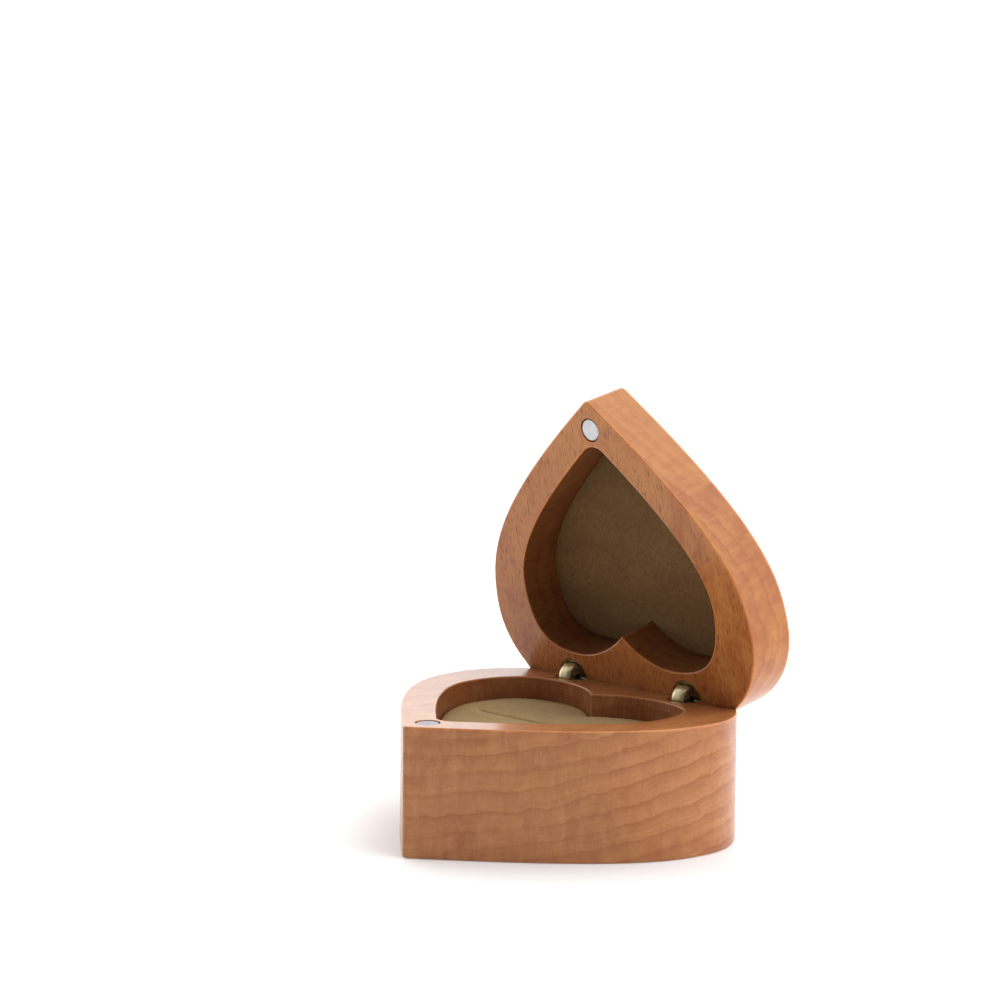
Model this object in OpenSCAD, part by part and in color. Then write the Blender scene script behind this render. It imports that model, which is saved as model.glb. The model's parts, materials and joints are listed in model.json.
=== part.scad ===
// Heart-shaped wooden ring box with a hinged lid, shown with the lid standing open.
// Millimetres. +Z up, the heart's point towards -Y, the hinge line towards +Y.
// The origin is on the underside of the base, on the heart's centre line.

/* [Box] */
// Width of the heart across its two lobes
body_width = 50; // [50:1:60]
// Height of the base block
base_height = 17.5; // [16:0.5:24]
// Wood left under the well in the base
base_floor = 2.5; // [1.5:0.5:4]
// Thickness of the lid block
lid_height = 7.7; // [7.5:0.1:11]
// Wood left over the well in the lid
lid_crown = 1.1; // [0.8:0.1:1.4]
// Hairline between the two blocks when the lid is shut
shut_gap = 0.1; // [0.05:0.05:0.3]

/* [Lid travel] */
// How far the lid stands open as stored, measured from shut
open_angle = 77; // [30:1:90]
// Angle at which the two back bevels meet and stop the lid
open_limit = 90; // [90:1:94]

/* [Hinges] */
// Distance of each concealed hinge from the centre line
hinge_x = 11.1; // [10.6:0.1:11.6]
// Diameter of the brass barrels
barrel_d = 5; // [4.9:0.05:5]
// Length of the barrel in the base
base_barrel_len = 9; // [6:0.5:10]
// Length of the barrel in the lid
lid_barrel_len = 5.6; // [5:0.1:5.8]
// Outer radius of the crescent link plates
link_r = 2.1; // [2:0.05:2.1]
// Thickness of each outer link plate
plate_t = 0.7; // [0.5:0.05:0.75]
// Thickness of the middle link plate
core_t = 0.8; // [0.5:0.05:0.8]
// Diameter of the hinge pins
pin_d = 0.7; // [0.6:0.05:0.7]

/* [Magnets] */
// Diameter of the two disc magnets
magnet_d = 3.2; // [2.5:0.1:3.2]
// Thickness of the two disc magnets
magnet_t = 2; // [1:0.5:3]

/* [Cushion and lining] */
// How far the top of the cushion lies below the rim
cushion_drop = 2.2; // [2:0.1:5]
// Thickness of the suede
suede_t = 0.4; // [0.3:0.05:0.6]
// Length of the slit that grips a ring
slit_len = 22; // [18:1:24]
// Width of the slit between its suede lips
slit_gap = 0.8; // [0.6:0.1:1.2]
// Depth of the slit
slit_depth = 9; // [6:0.5:10]

/* [Hidden] */

k = body_width / 50;              // plan scale of the heart
fold_y = 19.4 * k;                // hinge line, in plan
fold_z = base_height + shut_gap / 2;  // hinge line, half way up the hairline
lid_z = base_height + shut_gap;   // lid's mating face when shut
bevel = open_limit / 2;           // slope of each back bevel below the mating face
big = 200;

// the heart's outline, right half, from the point round the lobe to the cleft
tip_y = -22.35;      // the rounded point of the heart
tip_half = 52;       // half of the angle at the point
tip_r = 0.9;         // radius at the point
// the well's outline
well_tip_y = -15.8;
well_half = 50;
well_r = 2.8;

magnet_y = -18.3 * k;
slit_y = 1.2 * k;                 // the slit lies along X, a little behind the middle

bore_d = barrel_d + 0.1;          // glue line round each barrel
barrel_y = fold_y - 0.15;
barrel_sink = 0.05;             // barrel's end below the wood
pin_orbit = 1.45;                 // radius of the pins about the hinge line
pin_lead = 36;                    // angle of each pin inside its own block
slot_half = pin_d / 2 + 0.05;
link_in = 0.75;
link_half = pin_lead + bevel + 29;    // half of the crescent's sweep
pocket_r = link_r + 0.1;
stack_t = 2 * plate_t + core_t;
pocket_half = stack_t / 2 + 0.05;

// ---- outlines ----
function bez(a, b, c, d, n) = [for (i = [1:n]) let (t = i / n, u = 1 - t)
    u*u*u*a + 3*u*u*t*b + 3*u*t*t*c + t*t*t*d];

// arc that rounds a point at (0, y), half-angle h, radius r
function tip_arc(y, h, r, n) = [for (i = [0:n]) let (q = -90 + (90 - h) * i / n)
    [r * cos(q), y + r + r * sin(q)]];
// where the sharp point would be
function apex(y, h, r) = y + r - r / sin(h);

function outer_half() = let (a = apex(tip_y, tip_half, tip_r),
    t = tip_arc(tip_y, tip_half, tip_r, 5), s = t[5])
    concat(t,
      bez(s, [28.7 * sin(tip_half), a + 28.7 * cos(tip_half)], [25, 2.1], [25, 9.8], 30),
      bez([25, 9.8], [25, 15.3], [20.3, 22.35], [11.5, 22.35], 22),
      bez([11.5, 22.35], [7.2, 22.35], [2.4, 21.7], [0, 19.8], 12));

function well_half_pts() = let (a = apex(well_tip_y, well_half, well_r),
    t = tip_arc(well_tip_y, well_half, well_r, 8), s = t[8])
    concat(t,
      bez(s, [15.5 * sin(well_half), a + 15.5 * cos(well_half)], [18.4, 0.2], [18.4, 6.1], 26),
      bez([18.4, 6.1], [18.4, 15], [12.95, 15.65], [8.7, 15.65], 22),
      bez([8.7, 15.65], [5.8, 15.65], [2.2, 13.95], [0, 11.75], 12));

// whole loop, counter-clockwise, from its right half
function mirror_loop(h) = let (n = len(h))
    concat(h, [for (i = [n - 2:-1:1]) [-h[i][0], h[i][1]]]);

// loop moved inwards by d, each point along the bisector of its two sides
function inset(p, d) = let (n = len(p)) [for (i = [0:n - 1]) let (
    a = p[(i + n - 1) % n], b = p[i], c = p[(i + 1) % n],
    u = (b - a) / norm(b - a), v = (c - b) / norm(c - b),
    m = [-u[1] - v[1], u[0] + v[0]], l = norm(m),
    g = 2 * d / (l * l)) b + m * g];

outer = mirror_loop(outer_half());
well = mirror_loop(well_half_pts());

module heart(h) linear_extrude(h) scale([k, k]) polygon(outer);
module well_cut(h, d = 0) linear_extrude(h) scale([k, k]) polygon(d == 0 ? well : inset(well, d));

// ---- poses ----
// shut pose to stored pose, about the hinge line, for the lid
module opened() translate([0, fold_y, fold_z]) rotate([-open_angle, 0, 0])
    translate([0, -fold_y, -fold_z]) children();
// the link turns half as far
module half_opened() translate([0, fold_y, fold_z]) rotate([-open_angle / 2, 0, 0])
    translate([0, -fold_y, -fold_z]) children();

// ---- cutting tools ----
// everything behind the back bevel of the base, moved back down by d
module base_bevel(d) translate([0, fold_y, fold_z]) rotate([-bevel, 0, 0])
    translate([-big / 2, -big / 4, -d]) cube([big, big, big]);
// a rod along X at (y, z), half-length l
module rod(y, z, r, l) translate([-l, y, z]) rotate([0, 90, 0]) cylinder(h = 2 * l, r = r, $fn = 64);
// pie slice in the YZ plane about the hinge line, from -Y: down for positive angles
module slice(a0, a1, r, l) translate([0, fold_y, fold_z]) rotate([0, -90, 180])
    translate([0, 0, -l]) linear_extrude(2 * l)
    polygon(concat([[0, 0]], [for (i = [0:6]) let (a = a0 + (a1 - a0) * i / 6)
        [-r * sin(a), r * cos(a)]]));

// ---- base ----
module base_block() color([0.76, 0.50, 0.31]) difference() {
    heart(base_height);
    translate([0, 0, base_floor]) well_cut(big);
    base_bevel(0.03);
    for (s = [-1, 1]) translate([s * hinge_x, barrel_y, base_height - base_barrel_len - barrel_sink - 0.05])
        cylinder(h = big, d = bore_d, $fn = 96);
    translate([0, magnet_y, base_height - magnet_t - 0.1]) cylinder(h = big, d = magnet_d + 0.2, $fn = 72);
}

// ---- lid, drawn shut: its mating face is at lid_z ----
module lid_shut() difference() {
    translate([0, 0, lid_z]) heart(lid_height);
    translate([0, 0, lid_z - 1]) well_cut(lid_height - lid_crown + 1);
    lid_bevel(0.03);
    for (s = [-1, 1]) translate([s * hinge_x, barrel_y, lid_z - 1])
        cylinder(h = 1 + lid_barrel_len + barrel_sink + 0.05, d = bore_d, $fn = 96);
    translate([0, magnet_y, lid_z - 1]) cylinder(h = 1 + magnet_t + 0.1, d = magnet_d + 0.2, $fn = 72);
}
module lid_bevel(d) translate([0, fold_y, fold_z]) rotate([bevel, 0, 0])
    translate([-big / 2, -big / 4, d - big]) cube([big, big, big]);
module lid_block() color([0.74, 0.47, 0.29]) opened() lid_shut();

// ---- magnets: discs with a small bevel at each end ----
module disc(d, t) rotate_extrude($fn = 72) polygon([[0, 0], [d / 2 - 0.15, 0], [d / 2, 0.15],
    [d / 2, t - 0.15], [d / 2 - 0.15, t], [0, t]]);
module base_magnet() color([0.85, 0.85, 0.86])
    translate([0, magnet_y, base_height - magnet_t - 0.05]) disc(magnet_d, magnet_t);
module lid_magnet() color([0.85, 0.85, 0.86]) opened()
    translate([0, magnet_y, lid_z + 0.05]) disc(magnet_d, magnet_t);

// ---- cushion ----
cushion_top = base_height - cushion_drop;
module cushion_foam() color([0.62, 0.58, 0.50]) difference() {
    translate([0, 0, base_floor]) well_cut(cushion_top - suede_t - 0.05 - base_floor, 0.25 + suede_t);
    translate([-slit_len / 2 - suede_t - 0.05, slit_y - slit_gap / 2 - suede_t - 0.05, cushion_top - slit_depth - 0.05])
        cube([slit_len + 2 * suede_t + 0.1, slit_gap + 2 * suede_t + 0.1, big]);
}
module cushion_cover() color([0.66, 0.53, 0.34]) difference() {
    union() {
        difference() {
            translate([0, 0, base_floor]) well_cut(cushion_top - base_floor, 0.2);
            translate([0, 0, base_floor - 1]) well_cut(cushion_top - suede_t - base_floor + 1, 0.2 + suede_t);
        }
        // the two lips of the slit, turned down into the foam
        translate([-slit_len / 2 - suede_t, slit_y - slit_gap / 2 - suede_t, cushion_top - slit_depth])
            cube([slit_len + 2 * suede_t, slit_gap + 2 * suede_t, slit_depth - suede_t / 2]);
    }
    translate([-slit_len / 2, slit_y - slit_gap / 2, cushion_top - slit_depth + suede_t])
        cube([slit_len, slit_gap, big]);
}
// suede glued to the crown of the lid's well
module lid_lining() color([0.36, 0.28, 0.15]) opened()
    translate([0, 0, lid_z + lid_height - lid_crown - suede_t]) well_cut(suede_t, 0.1);

// ---- concealed hinge, about the hinge line, at x = 0 ----
// round barrel with three glue grooves and a bevelled foot, foot at z = 0
module barrel_body(len) rotate_extrude($fn = 96) polygon([
    [0, 0], [barrel_d / 2 - 0.3, 0], [barrel_d / 2, 0.3],
    [barrel_d / 2, 1.0], [barrel_d / 2 - 0.15, 1.0], [barrel_d / 2 - 0.15, 1.4], [barrel_d / 2, 1.4],
    [barrel_d / 2, 2.0], [barrel_d / 2 - 0.15, 2.0], [barrel_d / 2 - 0.15, 2.4], [barrel_d / 2, 2.4],
    [barrel_d / 2, len], [0, len]]);

// slot for the link plates and hole for the pin, side = -1 in the base, 1 in the lid
module barrel_cuts(side) {
    rod(fold_y, fold_z, pocket_r, pocket_half);
    rod(fold_y - pin_orbit * cos(pin_lead), fold_z + side * pin_orbit * sin(pin_lead), pin_d / 2, 4);
}
module base_barrel() color([0.72, 0.58, 0.30]) difference() {
    translate([0, barrel_y, base_height - barrel_sink - base_barrel_len]) barrel_body(base_barrel_len);
    base_bevel(barrel_sink + 0.03);
    barrel_cuts(-1);
}
module lid_barrel() color([0.72, 0.58, 0.30]) opened() difference() {
    translate([0, barrel_y, lid_z + barrel_sink + lid_barrel_len]) mirror([0, 0, 1]) barrel_body(lid_barrel_len);
    lid_bevel(barrel_sink + 0.03);
    barrel_cuts(1);
}
// crescent with two curved slots, one for each pin, l = half thickness, r = outer radius
module crescent(r, l) difference() {
    rod(fold_y, fold_z, r, l);
    rod(fold_y, fold_z, link_in, l + 1);
    slice(link_half, 360 - link_half, 4 * r, l + 1);
    for (s = [-1, 1]) {
        intersection() {
            difference() {
                rod(fold_y, fold_z, pin_orbit + slot_half, l + 1);
                rod(fold_y, fold_z, pin_orbit - slot_half, l + 2);
            }
            slice(s * pin_lead, s * (pin_lead + bevel), 4 * r, l + 3);
        }
        for (a = [pin_lead, pin_lead + bevel])
            rod(fold_y - pin_orbit * cos(a), fold_z - s * pin_orbit * sin(a), slot_half, l + 1);
    }
}
module link_plates() color([0.78, 0.64, 0.36]) half_opened()
    for (s = [-1, 1]) translate([s * (core_t + plate_t) / 2, 0, 0]) crescent(link_r, plate_t / 2);
module link_core() color([0.70, 0.56, 0.30]) half_opened() crescent(link_r - 0.15, core_t / 2);
module base_pin() color([0.80, 0.80, 0.80])
    rod(fold_y - pin_orbit * cos(pin_lead), fold_z - pin_orbit * sin(pin_lead), pin_d / 2, 2.05);
module lid_pin() color([0.80, 0.80, 0.80]) opened()
    rod(fold_y - pin_orbit * cos(pin_lead), fold_z + pin_orbit * sin(pin_lead), pin_d / 2, 2.05);

module left() translate([-hinge_x, 0, 0]) children();
module right() translate([hinge_x, 0, 0]) children();
module left_base_barrel() left() base_barrel();
module right_base_barrel() right() base_barrel();
module left_lid_barrel() left() lid_barrel();
module right_lid_barrel() right() lid_barrel();
module left_link_plates() left() link_plates();
module right_link_plates() right() link_plates();
module left_link_core() left() link_core();
module right_link_core() right() link_core();
module left_base_pin() left() base_pin();
module right_base_pin() right() base_pin();
module left_lid_pin() left() lid_pin();
module right_lid_pin() right() lid_pin();

base_block();
lid_block();
base_magnet();
lid_magnet();
cushion_foam();
cushion_cover();
lid_lining();
left_base_barrel();
right_base_barrel();
left_lid_barrel();
right_lid_barrel();
left_link_plates();
right_link_plates();
left_link_core();
right_link_core();
left_base_pin();
right_base_pin();
left_lid_pin();
right_lid_pin();
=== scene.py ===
import json
import math

import bmesh
import bpy
from mathutils import Matrix, Vector


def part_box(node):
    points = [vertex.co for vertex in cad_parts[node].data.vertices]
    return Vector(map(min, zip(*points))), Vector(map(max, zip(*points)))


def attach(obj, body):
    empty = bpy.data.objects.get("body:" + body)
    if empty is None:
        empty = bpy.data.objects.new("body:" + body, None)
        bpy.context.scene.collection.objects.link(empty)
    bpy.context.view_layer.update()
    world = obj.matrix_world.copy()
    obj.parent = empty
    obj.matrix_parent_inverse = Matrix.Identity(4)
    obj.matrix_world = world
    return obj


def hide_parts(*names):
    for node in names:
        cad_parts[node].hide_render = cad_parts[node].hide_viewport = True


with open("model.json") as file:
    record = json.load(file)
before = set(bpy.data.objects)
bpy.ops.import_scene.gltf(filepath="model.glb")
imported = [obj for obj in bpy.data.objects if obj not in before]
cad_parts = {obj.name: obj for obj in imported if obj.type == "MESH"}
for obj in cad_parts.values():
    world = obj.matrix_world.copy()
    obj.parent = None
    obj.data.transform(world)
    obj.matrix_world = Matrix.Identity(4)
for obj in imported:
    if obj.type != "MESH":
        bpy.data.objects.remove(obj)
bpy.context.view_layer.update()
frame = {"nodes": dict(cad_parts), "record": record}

# ------------------------------------------------------------------
# sizes, in millimetres, read back from the frame
# ------------------------------------------------------------------
MM = 0.001
scene = bpy.context.scene


def box_mm(node):
    lo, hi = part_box(node)
    return [c / MM for c in lo], [c / MM for c in hi]


base_lo, base_hi = box_mm("base_block")
WIDTH = base_hi[0] - base_lo[0]
K = WIDTH / 50.0                     # plan scale of the heart
BASE_H = base_hi[2]
hinge = [j for j in frame["record"]["behaviour"]["joints"] if j["name"] == "lid_hinge"][0]
FOLD = Vector([c / MM for c in hinge["pos_m"]])     # the fold line's middle
OPEN = math.radians(max(hinge["range_deg"]))        # stored open, 77 degrees from shut
LID_Z = FOLD.z + 0.05                # the lid's mating face when it is shut
BASE_H = min(BASE_H, FOLD.z - 0.04)
LID_T = 7.7
LID_CROWN = 1.1
FLOOR_T = 2.5
CUSHION_TOP = box_mm("cushion_cover")[1][2]
SLIT_Y = 1.2 * K
SLIT_LEN = 22.0
HINGE_X = sum(box_mm("right_base_pin")[i][0] for i in (0, 1)) / 2
MAGNET_D = box_mm("base_magnet")[1][0] - box_mm("base_magnet")[0][0]
MAGNET_Y = (box_mm("base_magnet")[1][1] + box_mm("base_magnet")[0][1]) / 2
BARREL_Y = FOLD.y - 0.15

# shut pose to the stored pose, in metres
M_OPEN = (Matrix.Translation(FOLD * MM) @ Matrix.Rotation(-OPEN, 4, "X")
          @ Matrix.Translation(-FOLD * MM))


# ------------------------------------------------------------------
# outlines
# ------------------------------------------------------------------
def bez(a, b, c, d, n):
    out = []
    for i in range(1, n + 1):
        t = i / n
        u = 1 - t
        out.append(tuple(u**3 * a[k] + 3 * u * u * t * b[k] + 3 * u * t * t * c[k] + t**3 * d[k]
                         for k in (0, 1)))
    return out


def tip_arc(y, half, r, n):
    out = []
    for i in range(n + 1):
        q = math.radians(-90 + (90 - half) * i / n)
        out.append((r * math.cos(q), y + r + r * math.sin(q)))
    return out


def apex(y, half, r):
    return y + r - r / math.sin(math.radians(half))


def heart(tip_y, half, r, arm, side, knee, crown, back, cleft, counts):
    s, c = math.sin(math.radians(half)), math.cos(math.radians(half))
    a = apex(tip_y, half, r)
    pts = tip_arc(tip_y, half, r, counts[0])
    pts += bez(pts[-1], (arm * s, a + arm * c), side[0], side[1], counts[1])
    pts += bez(side[1], knee[0], knee[1], crown, counts[2])
    pts += bez(crown, back[0], back[1], cleft, counts[3])
    loop = pts + [(-x, y) for x, y in pts[-2:0:-1]]
    return [(x * K, y * K) for x, y in loop]


OUTER = heart(-22.35, 52, 0.9, 28.7, ((25, 2.1), (25, 9.8)), ((25, 15.3), (20.3, 22.35)),
              (11.5, 22.35), ((7.2, 22.35), (2.4, 21.7)), (0, 19.8), (6, 40, 30, 14))
WELL = heart(-15.8, 50, 2.8, 15.5, ((18.4, 0.2), (18.4, 6.1)), ((18.4, 15), (12.95, 15.65)),
             (8.7, 15.65), ((5.8, 15.65), (2.2, 13.95)), (0, 11.75), (10, 34, 30, 14))


def inset(loop, d):
    out, n = [], len(loop)
    for i in range(n):
        a, b, c = (Vector(loop[(i + k) % n]) for k in (-1, 0, 1))
        u, v = (b - a).normalized(), (c - b).normalized()
        m = Vector((-u.y - v.y, u.x + v.x))
        out.append(tuple(b + m * (2 * d / m.length_squared)))
    return out


def resample(loop, n):
    """n points at equal steps along the closed loop, from its first point."""
    pts = [Vector(p) for p in loop] + [Vector(loop[0])]
    run = [0.0]
    for a, b in zip(pts, pts[1:]):
        run.append(run[-1] + (b - a).length)
    out, k = [], 0
    for i in range(n):
        s = run[-1] * i / n
        while run[k + 1] < s:
            k += 1
        t = (s - run[k]) / max(run[k + 1] - run[k], 1e-9)
        out.append(tuple(pts[k].lerp(pts[k + 1], t)))
    return out


# ------------------------------------------------------------------
# mesh helpers. Meshes are made in millimetres and scaled at the end
# ------------------------------------------------------------------
def add(name, mesh):
    o = bpy.data.objects.new(name, mesh)
    scene.collection.objects.link(o)
    return o


def prism(name, loop, z0, z1):
    bm = bmesh.new()
    low = [bm.verts.new((x, y, z0)) for x, y in loop]
    top = [bm.verts.new((x, y, z1)) for x, y in loop]
    n = len(loop)
    for i in range(n):
        j = (i + 1) % n
        bm.faces.new((low[i], low[j], top[j], top[i]))
    bm.faces.new(list(reversed(low)))
    bm.faces.new(top)
    mesh = bpy.data.meshes.new(name)
    bm.to_mesh(mesh)
    bm.free()
    return add(name, mesh)


def disc_loop(x, y, r, n):
    return [(x + r * math.cos(2 * math.pi * i / n), y + r * math.sin(2 * math.pi * i / n))
            for i in range(n)]


def applied(o):
    """Replaces the object's mesh with its evaluated one, and clears the modifiers."""
    dg = bpy.context.evaluated_depsgraph_get()
    mesh = bpy.data.meshes.new_from_object(o.evaluated_get(dg), preserve_all_data_layers=True,
                                           depsgraph=dg)
    old = o.data
    o.modifiers.clear()
    o.data = mesh
    bpy.data.meshes.remove(old)
    return o


def cut(o, tool):
    m = o.modifiers.new("cut", "BOOLEAN")
    m.operation, m.solver, m.object = "DIFFERENCE", "EXACT", tool
    bpy.context.view_layer.update()
    applied(o)
    mesh = tool.data
    bpy.data.objects.remove(tool)
    bpy.data.meshes.remove(mesh)


def tidy(o, angle=0.4):
    """Merges faces that lie in one plane."""
    bm = bmesh.new()
    bm.from_mesh(o.data)
    bmesh.ops.remove_doubles(bm, verts=bm.verts, dist=1e-4)
    bmesh.ops.dissolve_limit(bm, angle_limit=math.radians(angle), verts=bm.verts, edges=bm.edges,
                             use_dissolve_boundaries=False)
    bmesh.ops.recalc_face_normals(bm, faces=bm.faces)
    bm.to_mesh(o.data)
    bm.free()


def ease(o, width_of, widest, segments=4):
    """Rounds the sharp convex edges: width_of(mid, edge) gives each one's width in mm."""
    for m in ("body", "edge"):
        o.data.materials.append(bpy.data.materials.get("hold_" + m) or bpy.data.materials.new("hold_" + m))
    bm = bmesh.new()
    bm.from_mesh(o.data)
    layer = bm.edges.layers.float.get("bevel_weight_edge") or bm.edges.layers.float.new("bevel_weight_edge")
    for e in bm.edges:
        if len(e.link_faces) != 2:
            continue
        turn = e.calc_face_angle_signed(0)
        if turn > math.radians(30):
            mid = (e.verts[0].co + e.verts[1].co) / 2
            e[layer] = min(1.0, width_of(mid, e) / widest)
        elif turn < math.radians(-30):
            e.smooth = False
    bm.to_mesh(o.data)
    bm.free()
    for p in o.data.polygons:
        p.use_smooth = True
    b = o.modifiers.new("ease", "BEVEL")
    b.limit_method, b.width, b.segments, b.profile = "WEIGHT", widest, segments, 0.5
    b.use_clamp_overlap = False
    b.material = 1                       # eased edges take the second finish: the same wood painted paler, a painted highlight along the edges
    b.miter_outer = "MITER_SHARP"
    w = o.modifiers.new("normals", "WEIGHTED_NORMAL")
    w.mode, w.weight, w.keep_sharp = "FACE_AREA", 60, True
    applied(o)


def to_metres(o, matrix=None):
    o.data.transform(Matrix.Scale(MM, 4))
    if matrix is not None:
        o.matrix_world = matrix
    bpy.context.view_layer.update()
    return o


# ------------------------------------------------------------------
# node helpers
# ------------------------------------------------------------------
class Net:
    def __init__(self, name):
        self.mat = bpy.data.materials.new(name)
        self.mat.use_nodes = True
        self.nt = self.mat.node_tree
        self.nt.nodes.clear()
        self.out = self.nt.nodes.new("ShaderNodeOutputMaterial")
        self.bsdf = self.nt.nodes.new("ShaderNodeBsdfPrincipled")
        self.nt.links.new(self.bsdf.outputs[0], self.out.inputs[0])
        self.coord = self.nt.nodes.new("ShaderNodeTexCoord")

    def put(self, socket, value):
        if isinstance(value, bpy.types.NodeSocket):
            self.nt.links.new(value, socket)
        else:
            socket.default_value = value

    def set(self, **values):
        for k, v in values.items():
            self.put(self.bsdf.inputs[k.replace("_", " ")], v)

    def mm(self, scale=(1, 1, 1), rot=(0, 0, 0), loc=(0, 0, 0), vector=None):
        """Object coordinates in millimetres, moved, turned and then scaled."""
        v = vector
        if v is None:
            m = self.nt.nodes.new("ShaderNodeVectorMath")
            m.operation = "SCALE"
            self.put(m.inputs[0], self.coord.outputs["Object"])
            m.inputs["Scale"].default_value = 1000.0
            v = m.outputs[0]
        m = self.nt.nodes.new("ShaderNodeMapping")
        m.vector_type = "POINT"
        self.put(m.inputs["Vector"], v)
        m.inputs["Location"].default_value = loc
        m.inputs["Rotation"].default_value = rot
        m.inputs["Scale"].default_value = scale
        return m.outputs[0]

    def noise(self, vector, scale=1.0, detail=2.0, rough=0.5, distort=0.0, kind="Fac"):
        n = self.nt.nodes.new("ShaderNodeTexNoise")
        self.put(n.inputs["Vector"], vector)
        n.inputs["Scale"].default_value = scale
        n.inputs["Detail"].default_value = detail
        n.inputs["Roughness"].default_value = rough
        n.inputs["Distortion"].default_value = distort
        return n.outputs[kind]

    def voronoi(self, vector, scale=1.0, feature="F1", out="Distance", random=1.0):
        n = self.nt.nodes.new("ShaderNodeTexVoronoi")
        n.feature = feature
        self.put(n.inputs["Vector"], vector)
        n.inputs["Scale"].default_value = scale
        n.inputs["Randomness"].default_value = random
        return n.outputs[out]

    def math(self, op, a, b=0.0, c=None, clamp=False):
        n = self.nt.nodes.new("ShaderNodeMath")
        n.operation, n.use_clamp = op, clamp
        self.put(n.inputs[0], a)
        self.put(n.inputs[1], b)
        if c is not None:
            self.put(n.inputs[2], c)
        return n.outputs[0]

    def sep(self, vector):
        n = self.nt.nodes.new("ShaderNodeSeparateXYZ")
        self.put(n.inputs[0], vector)
        return n.outputs

    def com(self, x, y, z):
        n = self.nt.nodes.new("ShaderNodeCombineXYZ")
        for s, v in zip(n.inputs, (x, y, z)):
            self.put(s, v)
        return n.outputs[0]

    def range(self, v, a, b, c=0.0, d=1.0, smooth=False):
        n = self.nt.nodes.new("ShaderNodeMapRange")
        n.interpolation_type = "SMOOTHSTEP" if smooth else "LINEAR"
        self.put(n.inputs["Value"], v)
        for s, x in zip(("From Min", "From Max", "To Min", "To Max"), (a, b, c, d)):
            n.inputs[s].default_value = x
        return n.outputs[0]

    def ramp(self, fac, stops, kind="LINEAR"):
        n = self.nt.nodes.new("ShaderNodeValToRGB")
        n.color_ramp.interpolation = kind
        els = n.color_ramp.elements
        while len(els) < len(stops):
            els.new(0.5)
        for e, (p, c) in zip(els, stops):
            e.position = p
            e.color = (*c, 1) if len(c) == 3 else c
        self.put(n.inputs[0], fac)
        return n.outputs[0]

    def mix(self, fac, a, b, kind="MIX"):
        n = self.nt.nodes.new("ShaderNodeMix")
        n.data_type, n.blend_type, n.clamp_result = "RGBA", kind, False
        self.put(n.inputs[0], fac)
        for s, v in ((n.inputs[6], a), (n.inputs[7], b)):
            self.put(s, (*v, 1) if isinstance(v, tuple) and len(v) == 3 else v)
        return n.outputs[2]

    def bump(self, height, strength, distance_mm, normal=None):
        n = self.nt.nodes.new("ShaderNodeBump")
        n.inputs["Strength"].default_value = strength
        n.inputs["Distance"].default_value = distance_mm * MM
        self.put(n.inputs["Height"], height)
        if normal is not None:
            self.put(n.inputs["Normal"], normal)
        return n.outputs[0]


def lin(r, g, b):
    """sRGB 0 to 255 to linear."""
    return tuple((c / 255 / 12.92) if c / 255 <= 0.04045 else ((c / 255 + 0.055) / 1.055) ** 2.4
                 for c in (r, g, b))


# ------------------------------------------------------------------
# materials
# ------------------------------------------------------------------
def paler(colours, f):
    return [tuple(min(1.0, c * f) for c in colour) for colour in colours]


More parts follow.
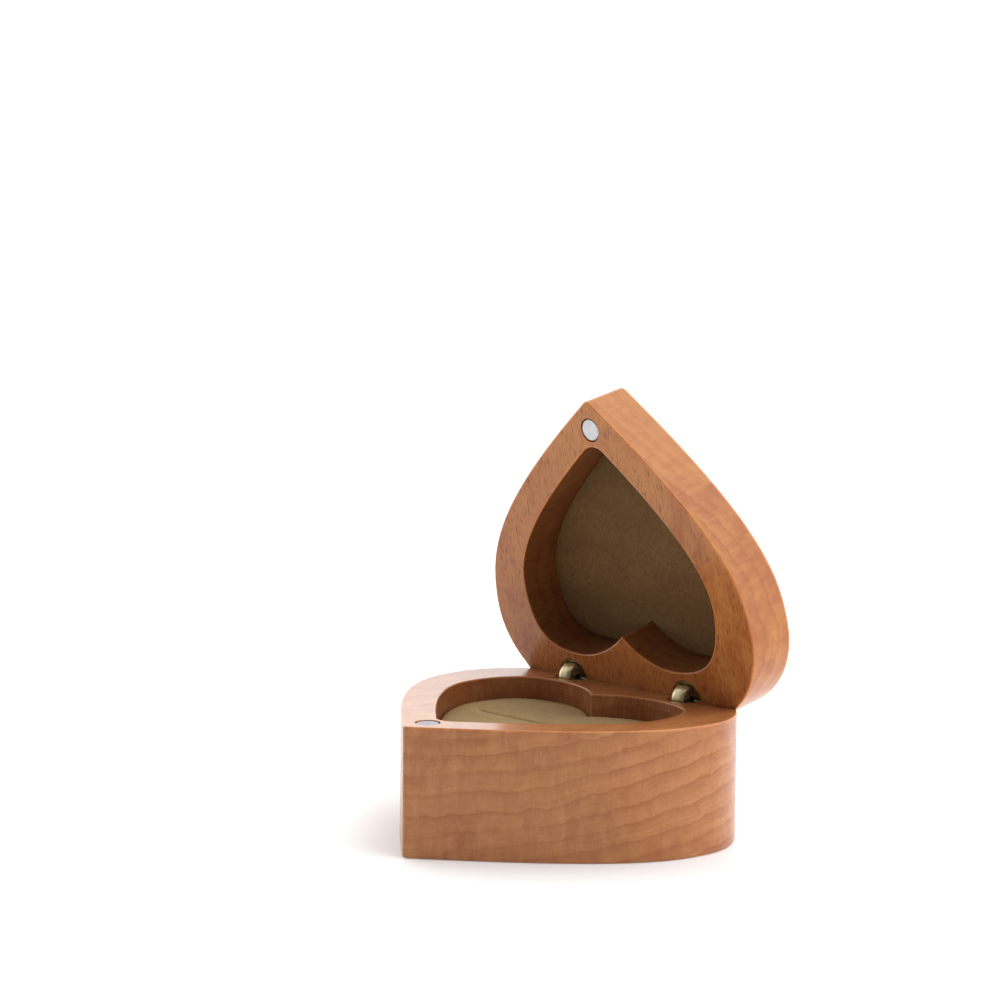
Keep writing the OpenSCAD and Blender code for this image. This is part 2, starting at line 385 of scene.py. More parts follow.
def beech(name, pith, ring, seed, wall_shade, dotty, light, dark, fleck, warmth):
    """Beech with its grain along Y. Growth rings are cylinders about a pith line parallel to Y,
    rays stand upright, across the rings."""
    n = Net(name)
    p = n.mm(loc=(seed * 13.1, seed * 31.7, seed * 7.3))
    here = n.mm()
    x, y, z = n.sep(here)
    # slow wander of the rings, and the small ripple that gives the wavy lines
    wander = n.noise(n.mm(vector=p, scale=(0.045, 0.022, 0.06)), 1.0, 1.5, 0.5)
    ripple = n.noise(n.mm(vector=p, scale=(0.42, 0.26, 0.10)), 1.0, 2.0, 0.55)
    ripple2 = n.noise(n.mm(vector=p, scale=(1.5, 0.9, 0.25)), 1.0, 2.0, 0.5)
    dx = n.math("SUBTRACT", x, pith[0])
    dz = n.math("SUBTRACT", z, pith[1])
    rad = n.math("SQRT", n.math("ADD", n.math("MULTIPLY", dx, dx), n.math("MULTIPLY", dz, dz)))
    rad = n.math("ADD", rad, n.math("MULTIPLY", y, pith[2]))
    rad = n.math("ADD", rad, n.math("MULTIPLY", wander, 5.2))
    rad = n.math("ADD", rad, n.math("MULTIPLY", ripple, 1.5))
    rad = n.math("ADD", rad, n.math("MULTIPLY", ripple2, 0.28))
    turn = n.math("FRACT", n.math("MULTIPLY", rad, 1.0 / ring))
    # dense late wood in a thin line, then a slow fade
    line = n.ramp(turn, [(0.0, (0.22,) * 3), (0.05, (1.0,) * 3), (0.13, (0.66,) * 3),
                         (0.36, (0.30,) * 3), (0.70, (0.0,) * 3), (0.93, (0.0,) * 3), (1.0, (0.22,) * 3)])
    faint = n.noise(n.com(n.math("MULTIPLY", rad, 2.4), n.math("MULTIPLY", y, 0.03), 0.0), 1.0, 3.0, 0.6)
    # how strongly each stretch of ring shows
    show = n.range(n.noise(n.mm(vector=p, scale=(0.10, 0.06, 0.16)), 1.0, 2.0, 0.5), 0.32, 0.66, 0.28, 1.0)
    line = n.math("MULTIPLY", line, show)
    tone = n.noise(n.mm(vector=p, scale=(0.11, 0.05, 0.10)), 1.0, 3.0, 0.55)
    blotch = n.noise(n.mm(vector=p, scale=(0.35, 0.16, 0.30)), 1.0, 3.0, 0.6)
    grain = n.noise(n.mm(vector=p, scale=(7.0, 0.55, 5.0)), 1.0, 3.0, 0.6)
    pores = n.noise(n.mm(vector=p, scale=(16.0, 2.2, 16.0)), 1.0, 2.0, 0.6)
    rays = n.noise(n.mm(vector=p, scale=(4.4, 0.62, 0.26)), 1.0, 1.0, 0.4)
    rays_fine = n.noise(n.mm(vector=p, scale=(7.0, 1.1, 0.45)), 1.0, 1.0, 0.4)
    ticks = n.noise(n.mm(vector=p, scale=(5.2, 5.2, 0.45)), 1.0, 2.0, 0.5)
    way = n.sep(n.coord.outputs["Normal"])
    flat = n.math("ABSOLUTE", way[2])
    flat = n.range(flat, 0.55, 0.9, smooth=True)
    upright = n.math("SUBTRACT", 1.0, flat)
    # walls that look towards the middle of the heart, cut across the grain by the router, which tears the grain
    # there; the same mask carries painted shade on these walls
    inward = n.math("ADD", n.math("MULTIPLY", way[0], x), n.math("MULTIPLY", way[1], n.math("SUBTRACT", y, 2.0)))
    inward = n.math("MULTIPLY", n.range(inward, -0.5, -3.0), upright)

    colour = n.mix(n.range(tone, 0.34, 0.64), light, dark)
    colour = n.mix(n.range(blotch, 0.42, 0.68, 0.0, 0.75), colour, warmth)
    cloudy = n.noise(n.mm(vector=p, scale=(0.9, 0.20, 0.22)), 1.0, 2.0, 0.55)
    colour = n.mix(n.math("MULTIPLY", n.range(cloudy, 0.48, 0.70), n.range(upright, 0, 1, 0.25, 0.55)), colour,
                   tuple(min(1, c * f) for c, f in zip(light, (1.16, 1.22, 1.30))))
    colour = n.mix(n.math("MULTIPLY", n.range(faint, 0.35, 0.70), n.range(flat, 0, 1, 0.34, 0.12)), colour,
                   tuple(c * f for c, f in zip(dark, (0.86, 0.78, 0.70))))
    # figure: small pale and dark patches
    figure = n.noise(n.mm(vector=p, scale=(0.75, 0.55, 0.42)), 1.0, 4.0, 0.62)
    colour = n.mix(n.range(figure, 0.52, 0.72, 0.0, 0.42), colour,
                   tuple(min(1, c * f) for c, f in zip(light, (1.10, 1.16, 1.20))))
    colour = n.mix(n.range(figure, 0.46, 0.28, 0.0, 0.40), colour,
                   tuple(c * f for c, f in zip(dark, (0.96, 0.88, 0.80))))
    # growth lines are quiet on the flats and clear on the sides
    colour = n.mix(n.math("MULTIPLY", line, n.range(flat, 0, 1, 0.58, 0.16)), colour,
                   tuple(c * f for c, f in zip(dark, (0.70, 0.50, 0.36))))
    colour = n.mix(n.range(grain, 0.35, 0.72, 0.0, 0.20), colour,
                   tuple(c * f for c, f in zip(dark, (0.80, 0.72, 0.66))))
    colour = n.mix(n.range(pores, 0.55, 0.75, 0.0, 0.16), colour,
                   tuple(c * f for c, f in zip(dark, (0.66, 0.55, 0.48))))
    # rays: short dark flecks on the flats, faint pale upright streaks on the sides
    dots = n.math("ADD", n.range(rays, 0.58, 0.70, 0.0, 1.0), n.range(rays_fine, 0.60, 0.72, 0.0, 0.55))
    dots = n.math("MULTIPLY", dots, n.range(flat, 0, 1, 0.0, dotty), clamp=True)
    colour = n.mix(dots, colour, fleck)
    streak = n.math("ADD", n.range(rays, 0.60, 0.72, 0.0, 1.0), n.range(rays_fine, 0.60, 0.72, 0.0, 0.4))
    streak = n.math("MULTIPLY", streak, n.math("MULTIPLY", upright, 0.11), clamp=True)
    colour = n.mix(streak, colour, tuple(min(1, c * 1.25 + 0.03) for c in light))
    colour = n.mix(n.math("MULTIPLY", n.range(ticks, 0.56, 0.72, 0.0, 0.20), upright), colour,
                   tuple(c * f for c, f in zip(dark, (0.84, 0.68, 0.56))))
    torn = n.noise(n.mm(vector=p, scale=(6.0, 6.0, 0.35)), 1.0, 3.0, 0.6)
    torn = n.math("MULTIPLY", n.range(torn, 0.46, 0.66, 0.0, 0.55), inward)
    colour = n.mix(torn, colour, tuple(c * f for c, f in zip(dark, (0.62, 0.60, 0.62))))
    # painted shade on the inner walls: the wall factor darkens the lid's walls by about half and barely changes
    # the base's
    colour = n.mix(inward, colour, n.mix(1.0, colour, wall_shade, "MULTIPLY"))
    rough = n.math("ADD", n.range(grain, 0.3, 0.7, 0.36, 0.46),
                   n.math("MULTIPLY", dots, 0.08))
    height = n.math("ADD", n.math("MULTIPLY", grain, 0.6), n.math("MULTIPLY", pores, 0.5))
    height = n.math("SUBTRACT", height, n.math("MULTIPLY", dots, 0.5))
    normal = n.bump(height, 0.25, 0.012)
    n.set(Base_Color=colour, Roughness=rough, Normal=normal)
    n.bsdf.inputs["Specular IOR Level"].default_value = 0.15
    n.bsdf.inputs["Coat Weight"].default_value = 0.56
    n.bsdf.inputs["Coat Roughness"].default_value = 0.17
    n.bsdf.inputs["Coat IOR"].default_value = 1.5
    n.put(n.bsdf.inputs["Coat Normal"], n.bump(height, 0.10, 0.010))
    return n.mat


def suede(name, light, dark, nap, sheen, tint, tip_shade=1.0):
    n = Net(name)
    p = n.mm()
    stroke = n.noise(n.mm(vector=p, scale=(0.10, 0.16, 0.2)), 1.0, 3.0, 0.55, 0.6)
    cloud = n.noise(n.mm(vector=p, scale=(1.5, 1.5, 1.5)), 1.0, 4.0, 0.7)
    fibre = n.noise(n.mm(vector=p, scale=(3.4, 2.6, 3.0)), 1.0, 4.0, 0.75, 0.4)
    fine = n.noise(n.mm(vector=p, scale=(24.0, 18.0, 22.0)), 1.0, 2.0, 0.6)
    colour = n.mix(n.range(stroke, 0.30, 0.70, 0.0, 1.0), light, dark)
    colour = n.mix(n.range(cloud, 0.35, 0.70, 0.0, 0.22 * nap), colour, tuple(c * 0.75 for c in dark))
    colour = n.mix(n.range(fibre, 0.46, 0.68, 0.0, 0.55 * nap), colour, tuple(c * 0.55 for c in dark))
    colour = n.mix(n.range(fine, 0.56, 0.78, 0.0, 0.40 * nap), colour, tuple(min(1, c * 1.4) for c in light))
    # painted shade: the colour darkens towards the point of the heart
    point = n.range(n.sep(p)[1], -3.0, -14.0, 0.0, 1.0, smooth=True)
    colour = n.mix(point, colour, n.mix(1.0, colour, (tip_shade,) * 3, "MULTIPLY"))
    height = n.math("ADD", n.math("MULTIPLY", fibre, 0.7), n.math("MULTIPLY", fine, 0.4))
    height = n.math("ADD", height, n.math("MULTIPLY", cloud, 0.8))
    n.set(Base_Color=colour, Roughness=n.range(cloud, 0.3, 0.7, 0.84, 0.96),
          Normal=n.bump(height, 0.55, 0.06))
    n.bsdf.inputs["Specular IOR Level"].default_value = 0.2
    n.bsdf.inputs["Sheen Weight"].default_value = sheen
    n.bsdf.inputs["Sheen Roughness"].default_value = 0.45
    n.bsdf.inputs["Sheen Tint"].default_value = (*tint, 1)
    return n.mat


def metal(name, light, dark, rough, brush, tarnish):
    """Turned or stamped metal: fine brushing along Y or round the part, soft tarnish."""
    n = Net(name)
    p = n.mm()
    lines = n.noise(n.mm(vector=p, scale=brush), 1.0, 2.0, 0.6)
    cloud = n.noise(n.mm(vector=p, scale=(0.9, 0.9, 0.9)), 1.0, 4.0, 0.65)
    specks = n.noise(n.mm(vector=p, scale=(6.0, 6.0, 6.0)), 1.0, 3.0, 0.6)
    colour = n.mix(n.range(cloud, 0.35, 0.68), light, dark)
    colour = n.mix(n.range(specks, 0.60, 0.78, 0.0, tarnish), colour, tuple(c * 0.45 for c in dark))
    n.set(Base_Color=colour, Metallic=1.0,
          Roughness=n.math("ADD", n.range(cloud, 0.3, 0.7, rough, rough + 0.14),
                           n.range(lines, 0.3, 0.7, -0.03, 0.05)),
          Normal=n.bump(lines, 0.25, 0.010))
    return n.mat


def foam_mat():
    n = Net("foam_open_cell")
    p = n.mm()
    cell = n.voronoi(n.mm(vector=p, scale=(3.0, 3.0, 3.0)))
    cloud = n.noise(n.mm(vector=p, scale=(0.4, 0.4, 0.4)), 1.0, 3.0, 0.6)
    colour = n.mix(n.range(cell, 0.1, 0.8), (0.50, 0.45, 0.36), (0.30, 0.26, 0.20))
    colour = n.mix(n.range(cloud, 0.4, 0.7, 0.0, 0.4), colour, (0.36, 0.31, 0.23))
    n.set(Base_Color=colour, Roughness=n.range(cloud, 0.3, 0.7, 0.85, 0.98),
          Normal=n.bump(cell, 0.6, 0.10))
    return n.mat


BASE_TONES = [(0.560, 0.234, 0.082), (0.395, 0.130, 0.042), (0.190, 0.056, 0.020), (0.580, 0.242, 0.076)]
LID_TONES = [(0.600, 0.234, 0.062), (0.445, 0.138, 0.034), (0.215, 0.056, 0.018), (0.625, 0.258, 0.060)]
BASE_PITH, LID_PITH = (0.0, 180.0, 0.19), (-6.0, 78.0, -0.06)
# painted shade for the inner well walls of each block: the lid's about half as bright, the base's nearly
# unchanged with a slight bluish tint
BASE_WALL_SHADE, LID_WALL_SHADE = (0.98, 0.98, 1.10), (0.54, 0.53, 0.62)

MAT = {
    "beech_base": beech("beech_base_wood", BASE_PITH, 2.55, 1.0, BASE_WALL_SHADE, 0.30, *BASE_TONES),
    # the eased edges: the same wood painted 28 percent paler, a painted highlight
    "beech_base_edge": beech("beech_base_eased", BASE_PITH, 2.55, 1.0, BASE_WALL_SHADE, 0.20, *paler(BASE_TONES, 1.28)),
    "beech_lid": beech("beech_lid_wood", LID_PITH, 2.3, 4.0, LID_WALL_SHADE, 0.66, *LID_TONES),
    "beech_lid_edge": beech("beech_lid_eased", LID_PITH, 2.3, 4.0, LID_WALL_SHADE, 0.30, *paler(LID_TONES, 1.28)),
    "nickel": metal("nickel_plate", (0.58, 0.58, 0.59), (0.52, 0.52, 0.54), 0.34, (9.0, 0.8, 9.0), 0.10),
    # painted shade: the barrels' brass is far darker than the links', standing in for the dark gap round the
    # domes
    "brass_barrel": metal("brass_turned", (0.34, 0.27, 0.14), (0.20, 0.15, 0.07), 0.36, (0.8, 0.8, 12.0), 0.55),
    "brass_link": metal("brass_stamped", (0.72, 0.62, 0.38), (0.44, 0.35, 0.18), 0.26, (14.0, 0.9, 0.9), 0.5),
    "steel_pin": metal("steel_pin_drawn", (0.66, 0.66, 0.67), (0.48, 0.48, 0.50), 0.22, (0.8, 12.0, 12.0), 0.3),
    "foam": foam_mat(),
    "cushion_suede": suede("cushion_suede_nap", lin(176, 146, 100), lin(154, 124, 79), 0.95, 0.25,
                           (0.95, 0.82, 0.58)),
    # the lining's last value, 0.68, is its painted shade towards the point of the heart
    "lining_suede": suede("lining_suede_nap", lin(133, 102, 65), lin(119, 89, 55), 1.2, 0.12,
                          (0.80, 0.66, 0.42), 0.68),
}


def paint(o, slot_name):
    if len(o.data.materials) == 2:
        o.data.materials[0] = MAT[slot_name]
        o.data.materials[1] = MAT[slot_name + "_edge"]
    else:
        o.data.materials.clear()
        o.data.materials.append(MAT[slot_name])


# ------------------------------------------------------------------
# wooden blocks
# ------------------------------------------------------------------
def half_space(name, angle, z0, up):
    """A big block on one side of a plane through the fold line, turned by angle about X."""
    side = 60.0
    bm = bmesh.new()
    bmesh.ops.create_cube(bm, size=1.0)
    bm.transform(Matrix.Diagonal((2 * side, 2 * side, side, 1)))
    bm.transform(Matrix.Translation((0, side * 0.5, z0 + (side / 2 if up else -side / 2))))
    bm.transform(Matrix.Rotation(math.radians(angle), 4, "X"))
    bm.transform(Matrix.Translation(FOLD))
    mesh = bpy.data.meshes.new(name)
    bm.to_mesh(mesh)
    bm.free()
    return add(name, mesh)


def at_fold(mid):
    """The two edges that meet along the fold stay crisp, so no light shows between them."""
    return abs(mid.y - FOLD.y) < 0.3 and abs(mid.z - FOLD.z) < 0.3


def base_block():
    o = prism("base_wood", OUTER, 0, BASE_H + 0.045)
    cut(o, prism("t", WELL, FLOOR_T, BASE_H + 5))
    for s in (-1, 1):
        cut(o, prism("t", disc_loop(s * HINGE_X, BARREL_Y, 2.55, 72), BASE_H - 9.1, BASE_H + 5))
    cut(o, prism("t", disc_loop(0, MAGNET_Y, MAGNET_D / 2 + 0.1, 64), BASE_H - 2.1, BASE_H + 5))
    cut(o, half_space("t", -45, -0.004, True))
    tidy(o)

    def width(mid, e):
        if mid.z < 0.1:
            return 0.35
        if math.hypot(mid.x, mid.y - MAGNET_Y) < MAGNET_D / 2 + 0.3:
            return 0.06
        if abs(abs(mid.x) - HINGE_X) < 2.7 and abs(mid.y - BARREL_Y) < 3.2 and mid.z > 12:
            return 0.08
        if at_fold(mid):
            return 0.0
        return 0.26
    ease(o, width, 0.35)
    # the bottom edges keep the body colour, with no painted highlight, as they lie in shade
    for p in o.data.polygons:
        if p.center.z < 0.5:
            p.material_index = 0
    return to_metres(o)


def lid_block():
    o = prism("lid_wood", OUTER, LID_Z - 0.045, LID_Z + LID_T)
    cut(o, prism("t", WELL, LID_Z - 5, LID_Z + LID_T - LID_CROWN))
    for s in (-1, 1):
        cut(o, prism("t", disc_loop(s * HINGE_X, BARREL_Y, 2.55, 72), LID_Z - 5, LID_Z + 5.7))
    cut(o, prism("t", disc_loop(0, MAGNET_Y, MAGNET_D / 2 + 0.1, 64), LID_Z - 5, LID_Z + 2.1))
    cut(o, half_space("t", 45, 0.004, False))
    tidy(o)

    def width(mid, e):
        if mid.z > LID_Z + LID_T - 0.1:
            return 0.75
        if math.hypot(mid.x, mid.y - MAGNET_Y) < MAGNET_D / 2 + 0.3:
            return 0.06
        if abs(abs(mid.x) - HINGE_X) < 2.7 and abs(mid.y - BARREL_Y) < 3.2:
            return 0.08
        if at_fold(mid):
            return 0.0
        return 0.26
    ease(o, width, 0.75, 6)
    return to_metres(o, M_OPEN)


wood_base = base_block()
paint(wood_base, "beech_base")
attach(wood_base, "base")
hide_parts("base_block")

wood_lid = lid_block()
paint(wood_lid, "beech_lid")
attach(wood_lid, "lid")
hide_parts("lid_block")


# ------------------------------------------------------------------
# cushion: a closed suede pad, crowned, with the ring slit let into it
# ------------------------------------------------------------------
def slit_target(x, y, half_w, half_l):
    """The point of the slit's outline that lies nearest an outline point."""
    end = half_l - half_w
    if abs(x) <= end:
        return (x, SLIT_Y + (half_w if y > SLIT_Y else -half_w))
    c = Vector((math.copysign(end, x), SLIT_Y))
    d = (Vector((x, y)) - c).normalized()
    return tuple(c + d * half_w)


def cushion():
    n = 220
    edge = resample(inset(WELL, 0.24), n)
    rows, pin, loose = [], [], []       # rows of loops; how far each row may move

    def row(pts, z, free):
        rows.append([(x, y, z) for x, y in pts])
        loose.append(free)

    def shrink(d):
        return resample(inset(WELL, 0.24 + d), n)

    top = CUSHION_TOP - 0.66
    row(shrink(0.9), FLOOR_T + 0.1, 0.0)
    row(shrink(0.3), FLOOR_T + 0.35, 0.05)
    row(edge, FLOOR_T + 1.0, 0.08)
    for k in range(1, 7):
        row(edge, FLOOR_T + 1.0 + (top - 0.8 - FLOOR_T - 1.0) * k / 6, 0.08)
    for k in range(1, 6):
        q = math.radians(90 * k / 5)
        row(shrink(0.85 * (1 - math.cos(q))), top - 0.8 + 0.8 * math.sin(q), 0.15 + 0.1 * k)
    rim = shrink(0.85)
    lips = [slit_target(x, y, 0.80, SLIT_LEN / 2 + 0.4) for x, y in rim]
    steps = 18
    for k in range(1, steps + 1):
        t = k / steps
        s = t * 0.98
        row([(a[0] + (b[0] - a[0]) * t, a[1] + (b[1] - a[1]) * t) for a, b in zip(rim, lips)],
            top + 0.44 * (1 - (1 - s) ** 2), 1.0 if k < steps - 1 else 0.45)
    crest = top + 0.44
    for k in range(1, 6):
        q = math.radians(90 * k / 5)
        w = 0.80 - 0.66 * math.sin(q)
        row([slit_target(x, y, w, SLIT_LEN / 2 - 0.35 + w) for x, y in rim], crest - 0.75 * (1 - math.cos(q)),
            0.25 if k < 3 else 0.0)
    for k in range(1, 4):
        row([slit_target(x, y, 0.14, SLIT_LEN / 2 - 0.21) for x, y in rim], crest - 0.75 - 2.6 * k, 0.0)

    bm = bmesh.new()
    group = []
    verts = []
    for r, free in zip(rows, loose):
        verts.append([bm.verts.new(c) for c in r])
        group += [free] * n
    for a, b in zip(verts, verts[1:]):
        for i in range(n):
            j = (i + 1) % n
            bm.faces.new((a[i], a[j], b[j], b[i]))
    bm.faces.new(list(reversed(verts[0])))
    bm.faces.new(verts[-1])
    bmesh.ops.triangulate(bm, faces=[f for f in bm.faces if len(f.verts) > 4])
    bmesh.ops.recalc_face_normals(bm, faces=bm.faces)
    mesh = bpy.data.meshes.new("cushion_pad")
    bm.to_mesh(mesh)
    bm.free()
    o = add("cushion_pad", mesh)

    # inflate it as cloth, at ten times its size so that the solver sees a pillow
    work = add("cushion_work", mesh.copy())
    work.data.transform(Matrix.Scale(0.01, 4))
    rest = [v.co.copy() for v in work.data.vertices]
    g = work.vertex_groups.new(name="held")
    for i, free in enumerate(group):
        g.add([i], 1.0 - min(1.0, free * 1.0) if free < 0.5 else 0.0, "REPLACE")
    m = work.modifiers.new("cloth", "CLOTH")
    c = m.settings
    c.quality = 5
    c.mass = 0.3
    c.tension_stiffness = c.compression_stiffness = 12
    c.shear_stiffness = 8
    c.bending_stiffness = 0.6
    c.use_pressure = True
    c.uniform_pressure_force = 4
    c.effector_weights.gravity = 0
    c.vertex_group_mass = "held"
    m.point_cache.frame_start, m.point_cache.frame_end = 1, 20
    for f in range(1, 21):
        scene.frame_set(f)
    dg = bpy.context.evaluated_depsgraph_get()
    moved = [v.co.copy() for v in work.evaluated_get(dg).data.vertices]
    scene.frame_set(1)
    for i, v in enumerate(mesh.vertices):
        d = (moved[i] - rest[i]) * 100.0
        cap = 0.35 * group[i]
        if d.length > cap:
            d *= cap / d.length
        if group[i] < 0.5:
            d.xy = (0, 0)
        v.co += d
    data = work.data
    bpy.data.objects.remove(work)
    bpy.data.meshes.remove(data)
    for p in mesh.polygons:
        p.use_smooth = True
    s = o.modifiers.new("fine", "SUBSURF")
    s.levels = s.render_levels = 1
    applied(o)
    for p in o.data.polygons:
        p.use_smooth = True
    return to_metres(o)


pad = cushion()
paint(pad, "cushion_suede")
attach(pad, "base")
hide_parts("cushion_cover", "cushion_foam")


# ------------------------------------------------------------------
# lid lining: a flat piece of suede glued to the crown of the lid's well
# ------------------------------------------------------------------
def lining():
    n = 220
    z_face = LID_Z + LID_T - LID_CROWN - 0.4
    z_back = z_face + 0.38
    outer = resample(inset(WELL, 0.12), n)
    centre = (0.0, 1.5 * K)
    bm = bmesh.new()

    def ring_at(d, z, t=0.0):
        pts = resample(inset(WELL, 0.12 + d), n) if d > 0 else outer
        return [bm.verts.new((x + (centre[0] - x) * t, y + (centre[1] - y) * t, z)) for x, y in pts]

    loops = [ring_at(0.0, z_back), ring_at(0.0, z_face + 0.16), ring_at(0.05, z_face + 0.05),
             ring_at(0.18, z_face)]
    for k in range(1, 24):
        loops.append(ring_at(0.18, z_face, k / 24))
    for a, b in zip(loops, loops[1:]):
        for i in range(n):
            j = (i + 1) % n
            bm.faces.new((a[i], a[j], b[j], b[i]))
    bm.faces.new(loops[-1])
    bm.faces.new(list(reversed(loops[0])))
    bmesh.ops.triangulate(bm, faces=[f for f in bm.faces if len(f.verts) > 4])
    bmesh.ops.recalc_face_normals(bm, faces=bm.faces)
    mesh = bpy.data.meshes.new("lid_suede")
    bm.to_mesh(mesh)
    bm.free()
    o = add("lid_suede", mesh)
    # the glue leaves it a little uneven
    for v in mesh.vertices:
        if v.co.z < z_face + 0.02:
            x, y = v.co.x, v.co.y
            v.co.z += 0.012 * (math.sin(x * 0.61 + 1.3) * math.cos(y * 0.47) + math.sin(x * 0.23 - y * 0.35))
            v.co.z = max(v.co.z, z_face)
    for p in mesh.polygons:
        p.use_smooth = True
    return to_metres(o, M_OPEN)


suede_lid = lining()
paint(suede_lid, "lining_suede")
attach(suede_lid, "lid")
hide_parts("lid_lining")
cut_loop = inset(WELL, 0.1)


# ------------------------------------------------------------------
# hinge links: crescents with rolled edges, two curved slots each
# ------------------------------------------------------------------
def arc(r, a0, a1, n):
    return [(r * math.cos(math.radians(a0 + (a1 - a0) * i / n)),
             r * math.sin(math.radians(a0 + (a1 - a0) * i / n))) for i in range(n + 1)]


def crescent(name, r, half, edge, shift=0.0):
    """Flat crescent in the XY plane, open to +X, extruded along Z, middle at the origin.
    The stack of three is domed: shift is where this one lies in it."""
    curve = bpy.data.curves.new(name, "CURVE")
    curve.dimensions, curve.fill_mode = "2D", "BOTH"
    sweep = 110.0
    loops = [arc(r, 180 - sweep, 180 + sweep, 72) + arc(0.75, 180 + sweep, 180 - sweep, 40)]
    for s in (-1, 1):
        a0, a1 = 180 + s * 36, 180 + s * 81
        o, i = arc(1.85, a0, a1, 24), arc(1.05, a1, a0, 24)

        def cap(a, start):
            cx, cy = 1.45 * math.cos(math.radians(a)), 1.45 * math.sin(math.radians(a))
            return [(cx + 0.4 * math.cos(math.radians(start + s * 180 * k / 12)),
                     cy + 0.4 * math.sin(math.radians(start + s * 180 * k / 12))) for k in range(1, 12)]
        loops.append(o + cap(a1, a1) + i + cap(a0, a0 + 180))
    for loop in loops:
        sp = curve.splines.new("POLY")
        sp.points.add(len(loop) - 1)
        for p, (x, y) in zip(sp.points, loop):
            p.co = (x, y, 0, 1)
        sp.use_cyclic_u = True
    curve.extrude = half - edge
    curve.bevel_depth = edge
    curve.bevel_resolution = 2
    curve.offset = -edge
    o = add(name, curve)
    bpy.context.view_layer.update()
    dg = bpy.context.evaluated_depsgraph_get()
    mesh = bpy.data.meshes.new_from_object(o.evaluated_get(dg))
    bpy.data.objects.remove(o)
    bm = bmesh.new()
    bm.from_mesh(mesh)
    bmesh.ops.remove_doubles(bm, verts=bm.verts, dist=1e-4)
    # XY of the curve to the hinge's YZ plane: its open side faces +Y
    bm.transform(Matrix(((0, 0, 1, 0), (1, 0, 0, 0), (0, 1, 0, 0), (0, 0, 0, 1))))
    for k in range(-3, 4):
        bmesh.ops.bisect_plane(bm, geom=bm.verts[:] + bm.edges[:] + bm.faces[:], dist=1e-6,
                               plane_co=(k * 0.29 * half, 0, 0), plane_no=(1, 0, 0))
    for v in bm.verts:
        rad = math.hypot(v.co.y, v.co.z)
        if rad > 1.88:
            far = min(1.0, max(0.0, abs(v.co.x + shift) - 0.25) / 0.86)
            f = 1 - 0.22 * (1 - math.sqrt(1 - far * far)) / rad
            v.co.y *= f
            v.co.z *= f
    bmesh.ops.recalc_face_normals(bm, faces=bm.faces)
    bm.to_mesh(mesh)
    bm.free()
    for p in mesh.polygons:
        p.use_smooth = True
    return mesh


def link_piece(name, x, half, r, shift, edge):
    mesh = crescent(name, r, half, edge, shift)
    mesh.transform(Matrix.Translation((shift, 0, 0)))
    mesh.transform(Matrix.Rotation(-OPEN / 2, 4, "X"))
    mesh.transform(Matrix.Translation((x, FOLD.y, FOLD.z)))
    return add(name, mesh)


def join(name, parts):
    bm = bmesh.new()
    for o in parts:
        bm.from_mesh(o.data)
    mesh = bpy.data.meshes.new(name)
    bm.to_mesh(mesh)
    bm.free()
    for o in parts:
        old = o.data
        bpy.data.objects.remove(o)
        bpy.data.meshes.remove(old)
    for p in mesh.polygons:
        p.use_smooth = True
    o = add(name, mesh)
    w = o.modifiers.new("normals", "WEIGHTED_NORMAL")
    w.mode, w.weight = "FACE_AREA", 60
    applied(o)
    return o


for s, side in ((-1, "left"), (1, "right")):
    x = s * HINGE_X
    plates = join(f"{side}_plates", [link_piece("a", x, 0.35, 2.1, -0.75, 0.03),
                                     link_piece("b", x, 0.35, 2.1, 0.75, 0.03)])
    to_metres(plates)
    paint(plates, "brass_link")
    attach(plates, f"{side}_link")
    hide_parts(f"{side}_link_plates")
    core = join(f"{side}_core", [link_piece("c", x, 0.4, 2.1, 0.0, 0.03)])
    to_metres(core)
    paint(core, "brass_link")
    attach(core, f"{side}_link")
    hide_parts(f"{side}_link_core")

# CAD nodes that show as they are get their finish
for node in ("base_magnet", "lid_magnet",
             "left_base_barrel", "right_base_barrel", "left_lid_barrel", "right_lid_barrel",
             "left_base_pin", "right_base_pin", "left_lid_pin", "right_lid_pin"):
    o = frame["nodes"][node]
    slot_name = [p["material_slot"] for p in frame["record"]["subparts"] if p["node"] == node][0] \
        if "subparts" in frame["record"] else "nickel"
    for k in range(max(1, len(o.material_slots))):
        if o.material_slots:
            o.material_slots[k].material = MAT[slot_name]
        else:
            o.data.materials.append(MAT[slot_name])
# painted shade: the base magnet takes a darker, bluer and rougher copy of the nickel plating, to dull its
# reflection
NICKEL_SHADED_COPY = metal("nickel_plate_scuffed", (0.36, 0.39, 0.42), (0.28, 0.30, 0.33), 0.42, (0.9, 9.0, 9.0), 0.3)
for k in range(len(frame["nodes"]["base_magnet"].material_slots)):
    frame["nodes"]["base_magnet"].material_slots[k].material = NICKEL_SHADED_COPY


# ------------------------------------------------------------------
# floor, light, camera
# ------------------------------------------------------------------
def floor():
    bm = bmesh.new()
    bmesh.ops.create_grid(bm, x_segments=8, y_segments=8, size=3.0)
    bm.transform(Matrix.Translation((0, 0, -0.00003)))
    mesh = bpy.data.meshes.new("floor")
    bm.to_mesh(mesh)
    bm.free()
    o = add("floor", mesh)
    n = Net("floor_paper")
    v = n.noise(n.mm(scale=(0.02, 0.02, 0.02)), 1.0, 2.0, 0.5)
    n.set(Base_Color=n.mix(v, (0.89, 0.89, 0.89), (0.92, 0.92, 0.92)), Roughness=0.6)
    n.bsdf.inputs["Specular IOR Level"].default_value = 0.3
    n.bsdf.inputs["Emission Color"].default_value = (1, 1, 1, 1)
    n.bsdf.inputs["Emission Strength"].default_value = 0.13
    o.data.materials.append(n.mat)


floor()

world = bpy.data.worlds.new("studio")
scene.world = world
world.use_nodes = True


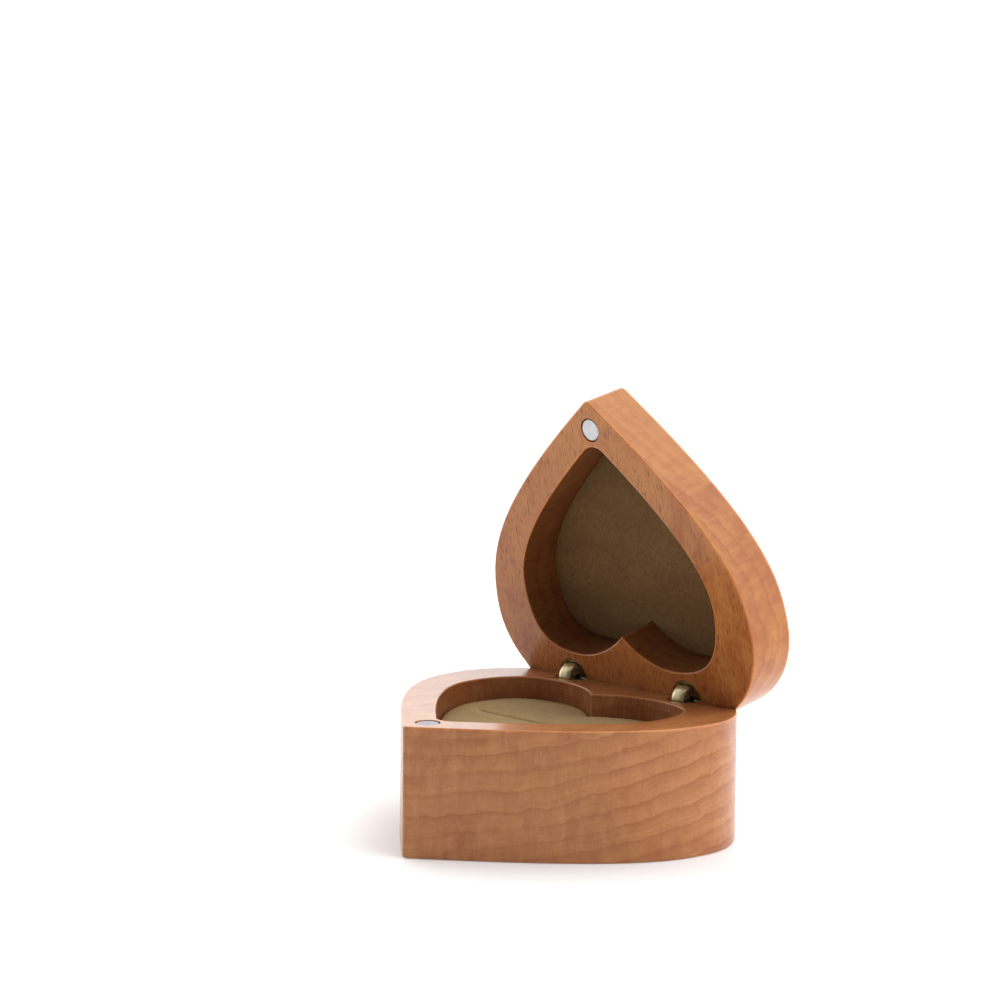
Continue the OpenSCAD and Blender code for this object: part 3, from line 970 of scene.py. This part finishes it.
def sky():
    """White studio: bright over and behind the object, dim on the side it is looked at from.
    The backdrop itself shows as plain white from every side."""
    nt = world.node_tree
    bg = nt.nodes["Background"]
    bg.inputs[0].default_value = (1, 1, 1, 1)
    tc = nt.nodes.new("ShaderNodeTexCoord")
    dot = nt.nodes.new("ShaderNodeVectorMath")
    dot.operation = "DOT_PRODUCT"
    nt.links.new(tc.outputs["Generated"], dot.inputs[0])
    dot.inputs[1].default_value = DIM_SIDE
    level = nt.nodes.new("ShaderNodeMapRange")
    level.interpolation_type = "SMOOTHSTEP"
    for name, v in (("From Min", -0.15), ("From Max", 0.75), ("To Min", SKY_BRIGHT), ("To Max", SKY_DIM)):
        level.inputs[name].default_value = v
    nt.links.new(dot.outputs["Value"], level.inputs["Value"])
    ray = nt.nodes.new("ShaderNodeLightPath")
    pick = nt.nodes.new("ShaderNodeMix")
    pick.data_type = "FLOAT"
    nt.links.new(ray.outputs["Is Camera Ray"], pick.inputs[0])
    nt.links.new(level.outputs[0], pick.inputs[2])
    pick.inputs[3].default_value = 1.1
    nt.links.new(pick.outputs[0], bg.inputs[1])


DIM_SIDE = (0.36, -0.90, 0.25)
SKY_BRIGHT, SKY_DIM = 1.85, 0.12
sky()


def softbox(name, at, aim, size, power, colour=(1, 1, 1)):
    light = bpy.data.lights.new(name, "AREA")
    light.shape, light.size, light.size_y = "RECTANGLE", size[0], size[1]
    light.energy, light.color = power, colour
    o = bpy.data.objects.new(name, light)
    scene.collection.objects.link(o)
    o.location = at
    o.rotation_mode = "QUATERNION"
    o.rotation_quaternion = (Vector(aim) - Vector(at)).to_track_quat("-Z", "Y")
    return o


softbox("top", (0.32, 0.06, 0.68), (0, 0, 0.02), (0.4, 0.4), 1.6)

# camera, as fitted: azimuth, elevation and roll in radians, distance in mm to the fold line
AZ, EL, ROLL, F, D = 0.8209, 0.1219, 0.0090, 2813.0154, 473.5733 / 1.2
U0, V0 = 629.2588, 687.8306
back = Vector((math.sin(AZ) * math.cos(EL), -math.cos(AZ) * math.cos(EL), math.sin(EL)))
right = Vector((math.cos(AZ), math.sin(AZ), 0))
up = back.cross(right)
down, ahead = -up, -back
c, s = math.cos(ROLL), math.sin(ROLL)
cam_right = right * c - down * s
cam_down = right * s + down * c
t = Vector(((U0 - 500) / F, (V0 - 500) / F, 1)) * D
place = Vector((0, FOLD.y, FOLD.z - 0.05)) - (cam_right * t.x + cam_down * t.y + ahead * t.z)
cam_data = bpy.data.cameras.new("camera")
cam_data.sensor_width = 36
cam_data.lens = F / 1000 * 36
cam_data.clip_start, cam_data.clip_end = 0.01, 20
cam = bpy.data.objects.new("camera", cam_data)
scene.collection.objects.link(cam)
rot = Matrix((cam_right, -cam_down, -ahead)).transposed()
cam.matrix_world = Matrix.Translation(place * MM) @ rot.to_4x4()
scene.camera = cam
scene.view_settings.view_transform = "Standard"

for m in [m for m in bpy.data.materials if m.name.startswith("hold_") and not m.users]:
    bpy.data.materials.remove(m)
